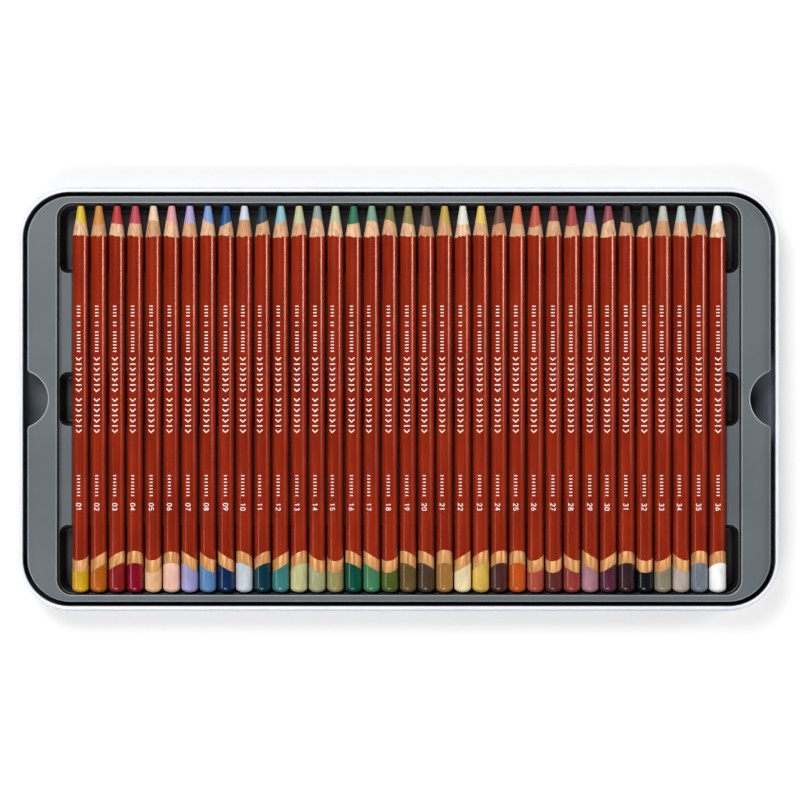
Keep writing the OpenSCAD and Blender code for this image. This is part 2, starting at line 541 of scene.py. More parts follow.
@dataclass(frozen=True)
class CutWood:
    """Straight-grained wood as the sharpener leaves it: grain lines, pores and cut marks."""

    pitch: float
    name: str = "cut_wood"
    pale: Rgb = (229, 190, 153)
    tan: Rgb = (196, 143, 100)
    grain: Rgb = (150, 92, 56)
    pores: float = 0.4

    def own_tone(self, recipe: Recipe) -> Socket:
        """Random number of each pencil, drawn by its place in the row.

        The place is X / pitch + 1/2, which is whole on every pencil's axis because the row has an
        even number of pencils with its middle at 0.

        Args:
            recipe: Recipe that takes the nodes.

        Returns:
            A number from 0 to 1, the same all over a pencil.
        """
        coords = recipe.nodes.new("ShaderNodeTexCoord")
        split = recipe.nodes.new("ShaderNodeSeparateXYZ")
        recipe.link(coords.outputs["Object"], split.inputs["Vector"])
        count = recipe.maths("DIVIDE", split.outputs["X"], self.pitch * MM)
        tone = recipe.nodes.new("ShaderNodeTexWhiteNoise")
        tone.noise_dimensions = "1D"
        recipe.link(recipe.maths("ROUND", recipe.maths("ADD", count, 1 / 2)), tone.inputs["W"])
        return tone.outputs["Value"]

    def make(self) -> bpy.types.Material:
        """Each pencil's own tone, with broad bands and fine lines of grain drawn out along Y.

        Returns:
            The material.
        """
        recipe = Recipe(self.name)
        lines = recipe.noise(scale=1700, detail=3, rough=0.7, stretch=(1, 0.05, 1))
        bands = recipe.noise(scale=700, stretch=(1, 0.09, 1))
        pores = recipe.noise(scale=5200, detail=1, stretch=(1, 0.16, 1))
        grain = linear(self.grain)
        base = recipe.mix(self.own_tone(recipe), linear(self.pale), linear(self.tan))
        streaked = recipe.mix(recipe.ramp(bands, 0.4, 0.72, end=0.5), base, grain)
        fine = recipe.mix(recipe.ramp(lines, 0.5, 0.72, end=0.9), streaked, grain)
        recipe.set(Base_Color=fine, Roughness=0.62, Specular_IOR_Level=0.35)
        recipe.bump(recipe.maths("ADD", lines, recipe.maths("MULTIPLY", pores, self.pores)), depth=0.04)
        return recipe.material


@dataclass(frozen=True)
class ColourCore:
    """Waxy pigment core, a little chalky, scored along its length by the sharpener."""

    name: str
    colour: Rgb
    depth: float = 0.9
    chalk: float = 0.8

    def make(self) -> bpy.types.Material:
        """Fine duller specks, and score marks drawn out along Y.

        Returns:
            The material.
        """
        recipe = Recipe(self.name)
        full = dimmed(self.colour, self.depth)
        dull = dimmed(self.colour, self.chalk * self.depth)
        specks = recipe.noise(scale=3800, detail=3, rough=0.7)
        score = recipe.noise(scale=1500, stretch=(1, 0.07, 1))
        recipe.set(
            Base_Color=recipe.blend(specks, (0.42, 0.75), full, dull, most=0.7),
            Roughness=recipe.ramp(score, *MOST, 0.42, 0.6),
            Specular_IOR_Level=0.4,
        )
        recipe.bump(score, depth=0.03)
        return recipe.material


@dataclass(frozen=True)
class DipPaint:
    """Thick glossy paint that the blunt end was dipped in."""

    name: str
    colour: Rgb
    depth: float = 0.95
    thin: float = 0.9

    def make(self) -> bpy.types.Material:
        """Clouds where the paint ran thicker, and a soft ripple along Y.

        Returns:
            The material.
        """
        recipe = Recipe(self.name)
        full = dimmed(self.colour, self.depth)
        shade = dimmed(self.colour, self.thin * self.depth)
        cloud = recipe.noise(scale=240, stretch=(1, 0.5, 1))
        ripple = recipe.noise(scale=500, stretch=(1, 0.3, 1))
        recipe.set(
            Base_Color=recipe.blend(cloud, MIDDLE, full, shade),
            Roughness=recipe.ramp(ripple, *MOST, 0.16, 0.24),
            Coat_Weight=0.2,
            Coat_Roughness=0.1,
        )
        recipe.bump(ripple, depth=0.015)
        return recipe.material


@dataclass(frozen=True)
class GoldBand:
    """Gold paint drawn along the barrel, which leaves fine lengthwise streaks."""

    name: str = "gold_band"
    light: Rgb = (222, 168, 106)
    dark: Rgb = (172, 110, 54)

    def make(self) -> bpy.types.Material:
        """Light and dark streaks drawn out along Y, under fine flakes.

        Returns:
            The material.
        """
        recipe = Recipe(self.name)
        streaks = recipe.noise(scale=900, detail=3, rough=0.6, stretch=(1, 0.06, 1))
        flakes = recipe.noise(scale=6000, detail=1)
        recipe.set(
            Base_Color=recipe.blend(streaks, (0.34, 0.66), self.light, self.dark),
            Metallic=0.35,
            Roughness=recipe.ramp(flakes, *MOST, 0.42, 0.54),
        )
        recipe.bump(streaks, depth=0.02)
        return recipe.material


@dataclass(frozen=True)
class StampedFoil:
    """Off-white foil stamped into the lacquer."""

    name: str = "stamped_foil"
    colour: Rgb = (240, 226, 220)
    worn: Rgb = (225, 190, 180)

    def make(self) -> bpy.types.Material:
        """Foil that is worn through to the lacquer's tint in spots.

        Returns:
            The material.
        """
        recipe = Recipe(self.name)
        wear = recipe.noise(scale=2200, detail=3, rough=0.7)
        recipe.set(
            Base_Color=recipe.blend(wear, (0.55, 0.75), self.colour, self.worn),
            Roughness=recipe.ramp(wear, *MOST, 0.3, 0.45),
        )
        return recipe.material


@dataclass(frozen=True)
class TinLacquer:
    """Satin pale lacquer on the outside of the tin."""

    name: str = "tin_lacquer"
    colour: Rgb = (226, 229, 237)
    shade: Rgb = (220, 223, 232)

    def make(self) -> bpy.types.Material:
        """Broad clouds of two greys, with the fine unevenness of a sprayed coat.

        Returns:
            The material.
        """
        recipe = Recipe(self.name)
        cloud = recipe.noise(scale=60)
        peel = recipe.noise(scale=1400)
        recipe.set(
            Base_Color=recipe.blend(cloud, MIDDLE, self.colour, self.shade),
            Roughness=recipe.ramp(peel, *MOST, 0.28, 0.36),
            Coat_Weight=0.2,
            Coat_Roughness=0.2,
        )
        recipe.bump(peel, depth=0.004)
        return recipe.material


@dataclass(frozen=True)
class InsideCoat:
    """Dark satin coat on the inside, over the faint lines of the sheet's rolling along X."""

    name: str = "inside_coat"
    colour: Rgb = (100, 105, 114)
    streak: Rgb = (92, 97, 105)

    def make(self) -> bpy.types.Material:
        """Fine lines drawn out along X, in colour, gloss and relief.

        Returns:
            The material.
        """
        recipe = Recipe(self.name)
        lines = recipe.noise(scale=2600, detail=3, rough=0.6, stretch=(0.02, 1, 1))
        recipe.set(
            Base_Color=recipe.blend(lines, MOST, self.colour, self.streak),
            Metallic=0.2,
            Roughness=recipe.ramp(lines, *MOST, 0.4, 0.5),
        )
        recipe.bump(lines, depth=0.004)
        return recipe.material


@dataclass(frozen=True)
class TrayPlastic:
    """Slate-grey thermoformed sheet with a satin face and a very fine grain."""

    name: str = "tray_plastic"
    colour: Rgb = (95, 102, 106)
    shade: Rgb = (89, 95, 99)
    gloss: float = 0.36
    gloss_spread: float = 0.06

    def make(self) -> bpy.types.Material:
        """Broad clouds of two greys, and a fine grain in gloss and relief.

        Returns:
            The material.
        """
        recipe = Recipe(self.name)
        cloud = recipe.noise(scale=30)
        grain = recipe.noise(scale=4200)
        low, high = self.gloss - self.gloss_spread, self.gloss + self.gloss_spread
        recipe.set(
            Base_Color=recipe.blend(cloud, MIDDLE, self.colour, self.shade),
            Roughness=recipe.ramp(grain, *MOST, low, high),
        )
        recipe.bump(grain, depth=0.006)
        return recipe.material


LIP_POINTS = 5
FOOT_POINTS = 6
WALL_POINTS = LIP_POINTS + FOOT_POINTS


def drafted_wall(
    top: np.ndarray,
    floor: float,
    edge_z: float,
    draft: float,
    lip: np.ndarray,
    foot: float,
    shift: float = 0.0,
) -> Wall:
    """Section of a moulded wall: a lip, a straight that leans in as it goes down, and a foot.

    The wall lies at d(z) = (edge_z - z) * tan(draft) - shift. The lip is the arc of radius lip that
    touches the level top and the wall, and the foot the arc of radius foot that touches the wall and
    the floor.

    Args:
        top: Height of the upper level, one for each place along the wall.
        floor: Height of the floor.
        edge_z: Height at which the wall crosses its nominal outline.
        draft: Lean of the wall in degrees.
        lip: Radius of the lip, one for each place along the wall.
        foot: Radius of the foot.
        shift: Distance that the whole wall is moved outwards.

    Returns:
        Distance in from the nominal outline and height, each of the shape (rows, places).
    """
    lean = math.radians(draft)
    top, lip = np.broadcast_arrays(np.atleast_1d(np.asarray(top, float)), np.asarray(lip, float))
    lip_turn = np.radians(np.linspace(90, draft, LIP_POINTS))[:, None]
    lip_centre = (edge_z - top + lip) * math.tan(lean) - shift - lip / math.cos(lean)
    foot_turn = np.radians(np.linspace(draft, 90, FOOT_POINTS))[:, None]
    foot_centre = (edge_z - floor - foot) * math.tan(lean) - shift + foot / math.cos(lean)
    inset = np.concatenate(
        [lip_centre + lip * np.cos(lip_turn), foot_centre - foot * np.cos(foot_turn) + 0 * top]
    )
    height = np.concatenate(
        [top - lip + lip * np.sin(lip_turn), floor + foot - foot * np.sin(foot_turn) + 0 * top]
    )
    return inset, height


@dataclass
class Tray:
    """Thermoformed tray: a flange with two thumb notches, a pocket, finger wells and scalloped rests.

    A field that ends in points counts the points of the stretch that it names, and one that ends in
    bands counts rows of faces.
    """

    half: np.ndarray
    flange_z: float
    bottom_z: float
    axis_z: float
    pencil_x: np.ndarray
    sheet: float = 0.6
    flange_r: float = 19.6
    flange_lip: float = 0.55
    skirt: float = 4.0
    end_w: float = 13.45
    side_w: float = 3.25
    notch_r: float = 13.0
    notch_depth: float = 9.3
    notch_round: float = 2.0
    pocket_r: float = 7.0
    pocket_draft: float = 3.0
    pocket_lip: float = 0.6
    pocket_foot: float = 0.14
    mouth_bevel: float = 0.5
    ledge_drop: float = 1.2
    groove_r: float = 4.0
    crest_r: float = 0.4
    rest_len: float = 45.3
    mid_well_len: float = 24.4
    well_r: float = 4.0
    well_step: float = 0.4
    well_draft: float = 9.0
    well_lip: float = 0.25
    rest_lip: float = 0.6
    floor_round: float = 1.5
    rest_margin: float = 4.4
    sharp: float = 0.05
    under_foot: float = 0.3
    skirt_bend: float = 0.2
    hem_bevel: float = 0.1
    notch_points: int = 22
    runout_points: int = 8
    end_points: int = 7
    corner_points: int = 22
    side_points: int = 9
    skirt_points: int = 3
    edge_points: int = 7
    outer_points: int = 12
    well_points: int = 10
    crest_points: int = 3
    groove_points: int = 10
    # Bands of painted highlight down the bend at the pocket's mouth
    bend_highlight_bands: int = 3
    flat_bands: int = 2

    def __post_init__(self) -> None:
        """Works out the levels and half sizes that follow from the fields."""
        self.floor_z = self.bottom_z + self.sheet
        self.ledge_z = self.axis_z - self.ledge_drop
        self.pocket_half = self.half - (self.end_w, self.side_w)
        lean = (self.flange_z - self.mouth_bevel - self.ledge_z) * math.tan(math.radians(self.pocket_draft))
        self.well_half = self.pocket_half - lean - self.well_step
        self.outer_r = self.pocket_r - lean - self.well_step
        self.corner_x = self.pocket_half[0] - self.pocket_r
        self.rest_x = self.pencil_x[-1] + self.rest_margin
        self.rest_y = self.mid_well_len / 2
        self.outer_y = self.rest_y + self.rest_len

    def flange_quarter(self) -> Outline:
        """Quarter of the flange: half a notch, its run-out, the end, the corner and half a long side.

        The run-out's circle touches the end's straight and the notch's circle.

        Returns:
            The quarter.
        """
        edge, side = self.half
        notch_x = edge - self.notch_depth + self.notch_r
        out_x = edge - self.notch_round
        out_y = math.sqrt((self.notch_r + self.notch_round) ** 2 - (notch_x - out_x) ** 2)
        turn = math.degrees(math.atan2(out_y, notch_x - out_x))
        corner = (edge - self.flange_r, side - self.flange_r)
        return bend((notch_x, 0), self.notch_r, 180, 180 - turn, self.notch_points, hollow=True).join(
            bend((out_x, out_y), self.notch_round, -turn, 0, self.runout_points),
            straight((edge, out_y), (edge, corner[1]), (1, 0), self.end_points),
            bend(corner, self.flange_r, 0, 90, self.corner_points),
            straight((corner[0], side), (0, side), (0, 1), self.side_points),
        )

    def pocket_quarter(self, flange: Outline) -> Outline:
        """Quarter of the pocket's mouth with a point for each point of the flange's quarter.

        The points beside the notch keep its Y, and those of the end spread up to the corner.

        Args:
            flange: The flange's quarter.

        Returns:
            The pocket's quarter.
        """
        x, y = self.pocket_half - self.pocket_r
        near = flange.points[: self.notch_points + self.runout_points - 1, 1]
        end_y = np.concatenate([near[:-1], np.linspace(near[-1], y, self.end_points)])
        end_line = np.stack([np.full_like(end_y, self.pocket_half[0]), end_y], axis=-1)
        end = Outline(end_line, np.tile((1.0, 0.0), (len(end_y), 1)))
        return end.join(
            bend((x, y), self.pocket_r, 0, 90, self.corner_points),
            straight((x, self.pocket_half[1]), (0, self.pocket_half[1]), (0, 1), self.side_points),
        )

    def pocket_wall(self, face: Face) -> Wall:
        """Section of the pocket's wall, from the flange down to the platforms.

        On the underside the levels are lower by the sheet, and the wall lies outwards by it.

        Args:
            face: Side of the sheet.

        Returns:
            Distance in from the pocket's outline and height.
        """
        edge_z = self.flange_z - self.mouth_bevel
        if face is Face.TOP:
            return drafted_wall(
                self.flange_z, self.ledge_z, edge_z, self.pocket_draft, self.pocket_lip, self.pocket_foot
            )
        return drafted_wall(
            self.flange_z - self.sheet,
            self.ledge_z - self.sheet,
            edge_z,
            self.pocket_draft,
            max(self.pocket_lip - self.sheet, self.sharp),
            self.under_foot,
            self.sheet / math.cos(math.radians(self.pocket_draft)),
        )

    def well_wall(self, face: Face, top: np.ndarray, lip: np.ndarray) -> Wall:
        """Section of a well's wall.

        Args:
            face: Side of the sheet.
            top: Height of the level above the wall, one for each place along it.
            lip: Radius of the lip, one for each place.

        Returns:
            Distance in from the well's outline and height.
        """
        if face is Face.TOP:
            return drafted_wall(top, self.floor_z, self.ledge_z, self.well_draft, lip, self.floor_round)
        return drafted_wall(
            top,
            self.bottom_z,
            self.ledge_z,
            self.well_draft,
            np.maximum(lip - self.sheet, self.sharp),
            self.floor_round + self.sheet,
            self.sheet / math.cos(math.radians(self.well_draft)),
        )

    def scallops(self, face: Face) -> tuple[np.ndarray, np.ndarray]:
        """Cross-section of the rests: an arc round each pencil and a rounded crest between two.

        A crest's circle touches the platform's level and the groove's circle. On the underside the
        grooves are wider by the sheet and meet in an edge.

        Args:
            face: Side of the sheet.

        Returns:
            X and height of the section, with as many points for each pencil on both sides of the
            sheet, and one more at each end.
        """
        if face is Face.TOP:
            level = self.ledge_z
            reach = self.groove_r + self.crest_r
            rise = self.axis_z - level + self.crest_r
            crest_x = math.sqrt(reach**2 - rise**2)
            turn = math.degrees(math.atan2(rise, crest_x))
            crest = arc((-crest_x, level - self.crest_r), self.crest_r, 90, turn, self.crest_points)
            groove = arc((0, self.axis_z), self.groove_r, 180 + turn, 360 - turn, self.groove_points)[1:-1]
            period = np.concatenate([crest, groove, crest[::-1] * (-1, 1)])
        else:
            level = self.ledge_z - self.sheet
            pitch = self.pencil_x[1] - self.pencil_x[0]
            radius = self.groove_r + self.sheet
            turn = math.degrees(math.acos(pitch / 2 / radius))
            count = 2 * self.crest_points + self.groove_points - 2
            period = arc((0, self.axis_z), radius, 180 + turn, 360 - turn, count)
        x = (self.pencil_x[:, None] + period[:, 0]).reshape(-1)
        z = np.tile(period[:, 1], len(self.pencil_x))
        return np.concatenate([[-self.rest_x], x, [self.rest_x]]), np.concatenate([[level], z, [level]])

    def rows_along(self, face: Face) -> np.ndarray:
        """Surface of the wells and rests under the row: x across, and y and z from the walls' section.

        Every column is the same run of levels, platform, wall and floor, at the scallop's height.

        Args:
            face: Side of the sheet.

        Returns:
            Grid of the shape (rows, columns, 3), from +Y to -Y.
        """
        x, level = self.scallops(face)
        plain = np.full_like(level, self.ledge_z - (0 if face is Face.TOP else self.sheet))
        outer, outer_z = self.well_wall(face, plain, np.full_like(x, self.well_lip))
        inner, inner_z = self.well_wall(face, level, np.full_like(x, self.rest_lip))
        y = np.concatenate([self.well_half[1] - outer, self.outer_y + inner[::-1], self.rest_y - inner])
        z = np.concatenate([outer_z, inner_z[::-1], inner_z])
        plan_x = np.tile(x, (len(y), 1))
        plan_x[: len(outer), 0] = -self.corner_x
        plan_x[: len(outer), -1] = self.corner_x
        half = np.stack([plan_x, y, z], axis=-1)
        return np.concatenate([half, half[::-1] * (1, -1, 1)])

    def well_ends(self, face: Face) -> list[np.ndarray]:
        """Right ends of the three wells, as grids from the outside in, walked from +Y to -Y.

        Round the corner beside a rest, the lip widens from the well's to the rest's by the smooth
        step 3 e**2 - 2 e**3.

        Args:
            face: Side of the sheet.

        Returns:
            Grids of the tip well, the middle well and the well at the dipped ends.
        """
        end_x = self.well_half[0]
        inner_x = end_x - self.well_r
        corner_y = self.well_half[1] - self.outer_r
        level = self.ledge_z - (0 if face is Face.TOP else self.sheet)
        ease = np.linspace(0, 1, self.well_points)
        ease = ease * ease * (3 - 2 * ease)
        widen = self.well_lip + (self.rest_lip - self.well_lip) * ease
        tip_outline = bend((self.corner_x, corner_y), self.outer_r, 90, 0, self.outer_points).join(
            straight((end_x, corner_y), (end_x, self.outer_y + self.well_r), (1, 0), 2),
            bend((inner_x, self.outer_y + self.well_r), self.well_r, 0, -90, self.well_points),
            straight((inner_x, self.outer_y), (self.rest_x, self.outer_y), (0, -1), 2),
        )
        tip_lip = np.concatenate([np.full(self.outer_points, self.well_lip), widen, [self.rest_lip]])
        half_outline = straight((self.rest_x, self.rest_y), (inner_x, self.rest_y), (0, 1), 2).join(
            bend((inner_x, self.rest_y - self.well_r), self.well_r, 90, 0, self.well_points),
            straight((end_x, self.rest_y - self.well_r), (end_x, 0), (1, 0), 2),
        )
        half_lip = np.concatenate([[self.rest_lip], widen[::-1], [self.well_lip]])
        tip = tip_outline.at(*self.well_wall(face, level, tip_lip))
        upper = half_outline.at(*self.well_wall(face, level, half_lip))
        middle = np.concatenate([upper, upper[:, -2::-1] * (1, -1, 1)], axis=1)
        return [tip, middle, tip[:, ::-1] * (1, -1, 1)]

    def ring(self) -> tuple[np.ndarray, np.ndarray, int, int]:
        """The flange with its skirt and the pocket's wall, both sides of the sheet in one grid.

        The rows walk from the underside's foot up the pocket, out under the flange, round the skirt's
        edge, and back over the flange and down the pocket.

        Returns:
            The grid, the finish of each of its bands, the number of points in a quarter and the number
            at which its corner ends.
        """
        quarter = self.flange_quarter()
        flange = quarter.round_four()
        pocket = self.pocket_quarter(quarter).round_four()
        top, under = self.pocket_wall(Face.TOP), self.pocket_wall(Face.UNDER)
        bend_r = self.skirt_bend
        bend_centre = (self.sheet + bend_r, self.flange_z - self.sheet - bend_r)
        inner = arc(bend_centre, bend_r, 90, 180, self.skirt_points)
        edge_z = self.flange_z - self.skirt
        bevel = self.hem_bevel
        hem = np.array(
            [
                (self.sheet, edge_z + bevel),
                (self.sheet - bevel, edge_z),
                (bevel, edge_z),
                (0, edge_z + bevel),
            ]
        )
        edge_centre = (self.flange_lip, self.flange_z - self.flange_lip)
        edge = arc(edge_centre, self.flange_lip, 180, 90, self.edge_points)
        skirt = np.concatenate([inner, hem, edge])
        grid = np.concatenate(
            [
                pocket.at(under[0][::-1], under[1][::-1]),
                flange.at(skirt[:, 0], skirt[:, 1]),
                pocket.at(*top),
            ]
        )
        band = np.arange(len(grid) - 1)
        first = len(under[0]) + len(inner) + len(hem)
        mouth = first + len(edge)
        # Painted highlights on the flange's outer lip and on the bend at the pocket's mouth, and painted
        # shade down the rest of the pocket's wall
        finish = np.select(
            [
                (band > first) & (band < mouth - 1),
                (band >= mouth) & (band < mouth + self.bend_highlight_bands),
                band >= mouth + self.bend_highlight_bands,
            ],
            [Sheet.EDGE, Sheet.BENT, Sheet.DEEP],
            Sheet.FLAT,
        )
        return grid, finish, len(quarter.points) - 1, len(quarter.points) - self.side_points

    def side(self, skin: Skin, face: Face, foot: np.ndarray, quarter: int, corner: int) -> None:
        """Adds the wells, rests and platforms inside the pocket for one side of the sheet.

        Args:
            skin: Mesh that takes them.
            face: Side of the sheet.
            foot: Closed loop at the foot of the pocket's wall.
            quarter: Number of points in a quarter of the loop.
            corner: Number of the point at which the first corner ends.
        """
        rows = self.rows_along(face)
        ends = self.well_ends(face)
        # On both sides of the sheet, the well walls and rests get darker painted shade and the well floors
        # get painted shade
        finish = np.full(len(rows) - 1, Sheet.DEEP)
        # Six walls follow one another, and a floor comes after the first, third and fifth
        finish[np.array((1, 3, 5)) * WALL_POINTS - 1] = Sheet.DRAWN
        skin.grid(rows, finish)
        loop = np.roll(foot, corner, axis=0)
        end_foot = loop[: 2 * corner + 1]
        side_foot = loop[2 * corner : 2 * quarter + 1]
        rims = np.concatenate([end[0] for end in ends])
        for sign in (1, -1):
            turn = np.array((sign, 1, 1))
            for end in ends:
                # Each well end keeps the plain grey on its lip, with darker painted shade down its wall and
                # painted shade on its floor
                band = np.arange(len(end) - 1)
                band = np.where(band < self.flat_bands, Sheet.FLAT, Sheet.DEEP)
                skin.grid(end * turn, band)
                skin.fill(end[-1] * turn, Sheet.DRAWN)
            skin.fill(np.concatenate([end_foot, rims]) * turn)
            skin.fill(np.concatenate([side_foot, rows[0]]) * (1, sign, 1))

    def build(self) -> Skin:
        """Surface of the whole tray as one closed sheet.

        Returns:
            The surface.
        """
        skin = Skin()
        grid, bent, quarter, corner = self.ring()
        skin.grid(grid, bent, closed=True)
        self.side(skin, Face.TOP, grid[-1], quarter, corner)
        self.side(skin, Face.UNDER, grid[0], quarter, corner)
        return skin

    def dress(self) -> bpy.types.Object:
        """Makes the piece, finishes it and seats it.

        Returns:
            The piece.
        """
        # The plain grey, then a painted highlight, painted shade, darker painted shade and another painted
        # highlight, in the order of Sheet
        finishes = [
            TrayPlastic().make(),
            TrayPlastic("bend_highlight_sheet", (136, 141, 145), (124, 129, 133)).make(),
            TrayPlastic("floor_shade_sheet", (58, 55, 57), (50, 47, 49)).make(),
            TrayPlastic("deep_shade_sheet", (30, 26, 27), (24, 20, 21), 0.5).make(),
            TrayPlastic("edge_highlight_sheet", (160, 166, 170), (148, 154, 158)).make(),
        ]
        piece = self.build().build("pencil_tray", finishes, CREASE)
        even_normals(piece)
        seat(piece, "tray", Slot.PLASTIC.value, "tray")
        return piece


def pressed_shell(half: np.ndarray, corner_r: float, section: np.ndarray, finish: np.ndarray) -> Skin:
    """Surface of a drawn steel piece: its section carried round the outline, and the panel's two faces.

    Args:
        half: Half sizes of the outline in X and Y.
        corner_r: Corner radius of the outline.
        section: Distance in from the outline with the height, from under the panel to its top.
        finish: Finish of each band of the section.

    Returns:
        The surface.
    """
    skin = Skin()
    outline = rounded_quarter(half, corner_r, corner=24, side=6, end=4).round_four()
    grid = outline.at(section[:, 0], section[:, 1])
    skin.grid(grid, finish, closed=True)
    skin.fill(grid[0], Steel.OUTSIDE)
    skin.fill(grid[-1], Steel.INSIDE)
    return skin


@dataclass
class TinBase:
    """Drawn steel base with a rim rolled inwards."""

    half: np.ndarray
    bottom_z: float
    rim_z: float
    corner_r: float = 23.0
    sheet: float = 0.35
    rim_r: float = 1.0
    rim_open: float = 60.0
    floor_r: float = 2.5
    pale_roll_bands: int = 12

    def build(self) -> Skin:
        """Surface of the base, whose section runs from under the floor round the rolled rim.

        The pale outer lacquer goes over the rim's crown and stops there.

        Returns:
            The surface.
        """
        low = self.bottom_z + self.floor_r
        high = self.rim_z - self.rim_r
        outside = arc((self.floor_r, low), self.floor_r, 270, 180, count=8)
        roll = arc((self.rim_r, high), self.rim_r, 180, self.rim_open - 180, count=28)
        inner_roll = arc((self.rim_r, high), self.rim_r - self.sheet, self.rim_open - 180, 180, count=18)
        inside = arc((self.floor_r, low), self.floor_r - self.sheet, 180, 270, count=7)
        section = np.concatenate([outside, roll, inner_roll, inside])
        band = np.arange(len(section) - 1)
        pale = band < len(outside) + self.pale_roll_bands
        return pressed_shell(self.half, self.corner_r, section, np.where(pale, Steel.OUTSIDE, Steel.INSIDE))

    def dress(self, steel: list[bpy.types.Material]) -> bpy.types.Object:
        """Makes the piece, finishes it and seats it.

        Args:
            steel: The steel's finishes.

        Returns:
            The piece.
        """
        piece = self.build().build("steel_base", steel, CREASE)
        even_normals(piece)
        seat(piece, "tin_base", Slot.TINPLATE.value, "tin_base")
        return piece


@dataclass
class Lid:
    """Drawn steel lid, turned over, with a folded hem on the edge of its skirt."""

    half: np.ndarray
    height: float
    corner_r: float = 23.65
    sheet: float = 0.35
    panel_r: float = 2.5
    hem_h: float = 2.5
    hem_bevel: float = 0.1
    hem_rise: float = 0.05

    def build(self) -> Skin:
        """Surface of the lid, whose section runs from under the panel round the folded hem.

        The outline is the skirt's face, and the hem stands out of it by the sheet.

        Returns:
            The surface.
        """
        fold_z = self.height - self.sheet
        hem_z = self.height - self.hem_h
        bevel = self.hem_bevel
        outside = arc((self.panel_r, self.panel_r), self.panel_r, 270, 180, count=8)
        step = np.array(
            [
                (0, hem_z - self.hem_rise),
                (-bevel, hem_z),
                (-self.sheet + bevel, hem_z),
                (-self.sheet, hem_z + bevel),
            ]
        )
        fold = arc((0, fold_z), self.sheet, 180, 0, count=9)
        inside = arc((self.panel_r, self.panel_r), self.panel_r - self.sheet, 180, 270, count=7)
        section = np.concatenate([outside, step, fold, inside])
        pale = np.arange(len(section) - 1) < len(section) - len(inside)
        finish = np.where(pale, Steel.OUTSIDE, Steel.INSIDE)
        return pressed_shell(self.half - self.sheet, self.corner_r, section, finish)

    def dress(self, steel: list[bpy.types.Material]) -> bpy.types.Object:
        """Makes the piece, finishes it and seats it.

        Args:
            steel: The steel's finishes.

        Returns:
            The piece.
        """
        piece = self.build().build("steel_lid", steel, CREASE)
        even_normals(piece)
        seat(piece, "lid", Slot.TINPLATE.value, "lid")
        return piece


class Coat(IntEnum):
    """Order of a pencil's finishes."""

    DIP = 0
    GOLD = 1
    LACQUER = 2
    WOOD = 3
    CORE = 4
    FOIL = 5


@dataclass(frozen=True)
class Shade:
    """One pencil's colours, and the side of the barrel on which its band climbs highest.

    The side is an angle in degrees from the top of the barrel, positive towards +X.
    """

    name: str
    core: Rgb
    dip: Rgb
    high_side: float


SHADES = (
    Shade("corn", (235, 195, 45), (215, 165, 25), 165),
    Shade("honey", (215, 140, 55), (180, 90, 15), 90),
    Shade("poppy", (195, 50, 50), (140, 25, 25), 62),
    Shade("cherry", (200, 70, 90), (130, 0, 30), 0),
    Shade("cream", (250, 215, 180), (235, 185, 135), 170),
    Shade("blush", (235, 165, 165), (240, 190, 170), 0),
    Shade("lilac", (185, 170, 220), (160, 155, 205), -88),
    Shade("sky", (130, 165, 225), (85, 130, 180), -120),
    Shade("navy", (15, 80, 145), (0, 35, 80), -100),
    Shade("frost", (215, 228, 240), (205, 212, 220), -40),
    Shade("petrol", (30, 65, 85), (0, 50, 65), 50),
    Shade("lagoon", (150, 200, 210), (55, 125, 125), 90),
    Shade("lichen", (205, 210, 160), (195, 190, 140), 45),
    Shade("moss", (150, 165, 155), (165, 165, 125), -135),
    Shade("reed", (195, 205, 165), (150, 140, 85), 180),
    Shade("pine", (35, 115, 80), (0, 75, 60), -50),
    Shade("fern", (130, 170, 145), (65, 125, 85), -90),
    Shade("leaf", (120, 125, 70), (80, 95, 30), 160),
    Shade("bark", (150, 135, 80), (100, 80, 40), -45),
    Shade("walnut", (115, 90, 75), (75, 55, 40), -50),
    Shade("sand", (200, 170, 70), (165, 115, 55), 0),
    Shade("straw", (240, 240, 225), (240, 220, 175), 90),
    Shade("amber", (240, 205, 100), (220, 180, 80), 50),
    Shade("cocoa", (125, 75, 60), (75, 35, 35), 20),
    Shade("rust", (220, 120, 75), (195, 80, 15), 0),
    Shade("clay", (200, 85, 65), (175, 75, 55), 150),
    Shade("mahogany", (140, 65, 60), (95, 40, 35), 165),
    Shade("tile", (175, 65, 65), (150, 55, 50), -135),
    Shade("heather", (170, 145, 175), (170, 120, 130), -95),
    Shade("plum", (160, 70, 85), (85, 35, 55), 95),
    Shade("coffee", (65, 45, 45), (50, 30, 35), 0),
    Shade("coal", (50, 50, 50), (10, 15, 20), 180),
    Shade("pebble", (200, 200, 190), (140, 130, 110), 130),
    Shade("pewter", (195, 210, 210), (185, 170, 160), -140),
    Shade("slate", (150, 160, 170), (115, 125, 135), 0),
    Shade("snow", (250, 250, 250), (252, 252, 250), 20),
)


def pen_line(*points: Point) -> np.ndarray:
    """A stroke of straight lines through the points."""
    return np.asarray(points, float)


